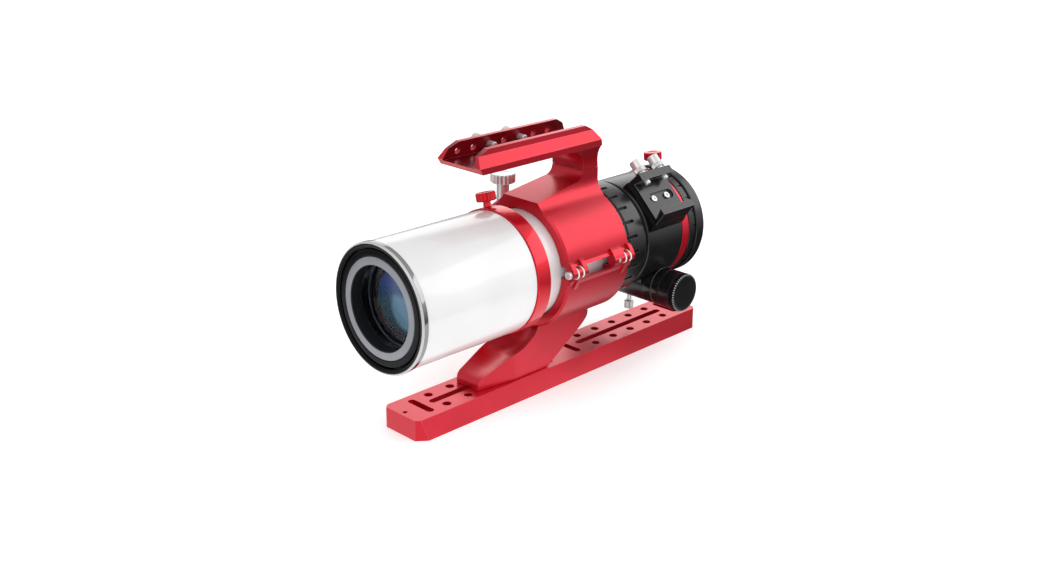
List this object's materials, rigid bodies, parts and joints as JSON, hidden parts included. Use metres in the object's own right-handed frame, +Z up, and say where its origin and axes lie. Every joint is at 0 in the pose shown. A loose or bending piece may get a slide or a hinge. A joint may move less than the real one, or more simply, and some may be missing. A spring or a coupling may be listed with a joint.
{
  "type": "small refractor telescope in a hinged cradle",
  "caption": "Short refractor with a sliding dew shield, held by a hinged clamshell cradle with a carrying handle on a slotted dovetail plate, with a geared focuser and a finder shoe.",
  "frame": {"origin": "middle of the dovetail plate's underside", "axes": "+Z up from the plate to the handle, -Y toward the front lens, +X toward the cradle's hinge side"},
  "size_m": [0.1208, 0.3353, 0.2005],
  "materials": {
    "red_anodised": "satin red anodised",
    "white_paint": "gloss white",
    "black_anodised": "satin black anodised",
    "bright_steel": "bright turned",
    "dark_steel": "dark polished",
    "coated_glass": "coated optical glass",
    "white_nylon": "plain",
    "black_felt": "felt"
  },
  "bodies": {
    "tube_and_plate": {"dovetail_plate": "red_anodised", "foot_bolt_1": "dark_steel", "foot_bolt_2": "dark_steel", "foot_bolt_3": "dark_steel", "foot_bolt_4": "dark_steel", "lower_cradle": "red_anodised", "lower_felt": "black_felt", "main_tube": "white_paint", "lens_cell": "black_anodised", "lens_retaining_ring": "black_anodised", "objective_lens_front": "coated_glass", "objective_lens_middle": "coated_glass", "objective_lens_rear": "coated_glass", "lens_spacer": "black_anodised", "baffle_front": "black_anodised", "baffle_rear": "black_anodised", "corrector_cell": "black_anodised", "corrector_lens_front": "coated_glass", "corrector_lens_rear": "coated_glass", "tube_rear_flange": "black_anodised"},
    "upper_half": {"upper_cradle": "red_anodised", "upper_felt": "black_felt", "handle": "red_anodised", "handle_bolt_1": "dark_steel", "handle_bolt_2": "dark_steel", "hinge_pin_front": "bright_steel", "hinge_pin_rear": "bright_steel", "hinge_washer_1": "white_nylon", "hinge_washer_2": "white_nylon", "hinge_washer_3": "white_nylon", "hinge_washer_4": "white_nylon", "hinge_grub_screw": "bright_steel"},
    "clamp_screw": {"clamp_knob": "bright_steel"},
    "saddle_screw_front": {"saddle_screw_1": "bright_steel"},
    "saddle_screw_rear": {"saddle_screw_2": "bright_steel"},
    "dew_shield_body": {"dew_shield": "white_paint", "dew_shield_trim_ring": "dark_steel", "dew_shield_clamp_ring": "red_anodised", "dew_shield_felt": "black_felt"},
    "dew_screw": {"dew_lock_screw": "red_anodised"},
    "rotation_ring": {"rotation_lock_ring": "black_anodised"},
    "focuser": {"focuser_body": "black_anodised", "focuser_stripe_ring": "red_anodised", "finder_shoe": "black_anodised", "finder_shoe_screw_1": "bright_steel", "finder_shoe_screw_2": "bright_steel", "pinion_bearing_right": "black_anodised", "reduction_gearbox": "black_anodised"},
    "finder_screw_front": {"finder_thumbscrew_1": "bright_steel"},
    "finder_screw_rear": {"finder_thumbscrew_2": "bright_steel"},
    "focus_lock": {"focus_lock_screw": "bright_steel"},
    "draw": {"drawtube": "bright_steel", "rack": "bright_steel"},
    "pinion": {"pinion_shaft": "bright_steel", "coarse_knob_right": "black_anodised", "coarse_knob_left": "black_anodised"},
    "fine_focus": {"fine_knob": "black_anodised"},
    "camera_rotator": {"camera_rotator_ring": "black_anodised", "rear_adapter_ring": "black_anodised"},
    "rotator_screw": {"rotator_lock_screw": "red_anodised"}
  },
  "joints": [
    {"name": "cradle_hinge", "type": "hinge", "parent": "tube_and_plate", "child": "upper_half", "pos_m": [0.0515, 0, 0.1044], "axis": [0, 1, 0], "range_deg": [0, 100]},
    {"name": "clamp_knob_turn", "type": "hinge", "parent": "upper_half", "child": "clamp_screw", "pos_m": [-0.053, -0.0056, 0.1133], "axis": [0, 0, 1], "range_deg": [0, 1080]},
    {"name": "saddle_screw_front_turn", "type": "hinge", "parent": "upper_half", "child": "saddle_screw_front", "pos_m": [-0.012, -0.0569, 0.1932], "axis": [-0.9994, 0, 0.0349], "range_deg": [0, 1080]},
    {"name": "saddle_screw_rear_turn", "type": "hinge", "parent": "upper_half", "child": "saddle_screw_rear", "pos_m": [-0.012, -0.0263, 0.1932], "axis": [-0.9994, 0, 0.0349], "range_deg": [0, 1080]},
    {"name": "dew_shield_slide", "type": "slide", "parent": "tube_and_plate", "child": "dew_shield_body", "axis": [0, -1, 0], "range_m": [0, 0.07]},
    {"name": "dew_lock_turn", "type": "hinge", "parent": "dew_shield_body", "child": "dew_screw", "pos_m": [0, -0.0615, 0.1007], "axis": [-0.247, 0, 0.969], "range_deg": [0, 720]},
    {"name": "rotation_lock_turn", "type": "hinge", "parent": "tube_and_plate", "child": "rotation_ring", "pos_m": [0, 0, 0.1007], "axis": [0, 1, 0], "range_deg": [0, 90]},
    {"name": "focuser_rotation", "type": "hinge", "parent": "tube_and_plate", "child": "focuser", "pos_m": [0, 0, 0.1007], "axis": [0, 1, 0], "continuous": true},
    {"name": "finder_screw_front_turn", "type": "hinge", "parent": "focuser", "child": "finder_screw_front", "pos_m": [0.03832, 0.0715, 0.13903], "axis": [-0.7071, 0, 0.7071], "range_deg": [0, 1080]},
    {"name": "finder_screw_rear_turn", "type": "hinge", "parent": "focuser", "child": "finder_screw_rear", "pos_m": [0.03832, 0.093, 0.13903], "axis": [-0.7071, 0, 0.7071], "range_deg": [0, 1080]},
    {"name": "focus_lock_turn", "type": "hinge", "parent": "focuser", "child": "focus_lock", "pos_m": [0, 0.0905, 0.042], "axis": [0, 0, -1], "range_deg": [0, 720]},
    {"name": "drawtube_slide", "type": "slide", "parent": "focuser", "child": "draw", "axis": [0, 1, 0], "range_m": [0, 0.028]},
    {"name": "pinion_turn", "type": "hinge", "parent": "focuser", "child": "pinion", "pos_m": [0, 0.0905, 0.0579], "axis": [-1, 0, 0], "range_deg": [0, 335]},
    {"name": "fine_knob_turn", "type": "hinge", "parent": "focuser", "child": "fine_focus", "pos_m": [0, 0.0905, 0.0579], "axis": [-1, 0, 0], "range_deg": [0, 3350]},
    {"name": "camera_rotator_turn", "type": "hinge", "parent": "draw", "child": "camera_rotator", "pos_m": [0, 0, 0.1007], "axis": [0, 1, 0], "continuous": true},
    {"name": "rotator_lock_turn", "type": "hinge", "parent": "camera_rotator", "child": "rotator_screw", "pos_m": [0, 0.1215, 0.1007], "axis": [-0.1219, 0, 0.9925], "range_deg": [0, 720]}
  ],
  "couplings": [
    {"joint": "pinion_turn", "follows": "drawtube_slide", "rad_per_m": 208.33},
    {"joint": "fine_knob_turn", "follows": "drawtube_slide", "rad_per_m": 2083.3}
  ]
}
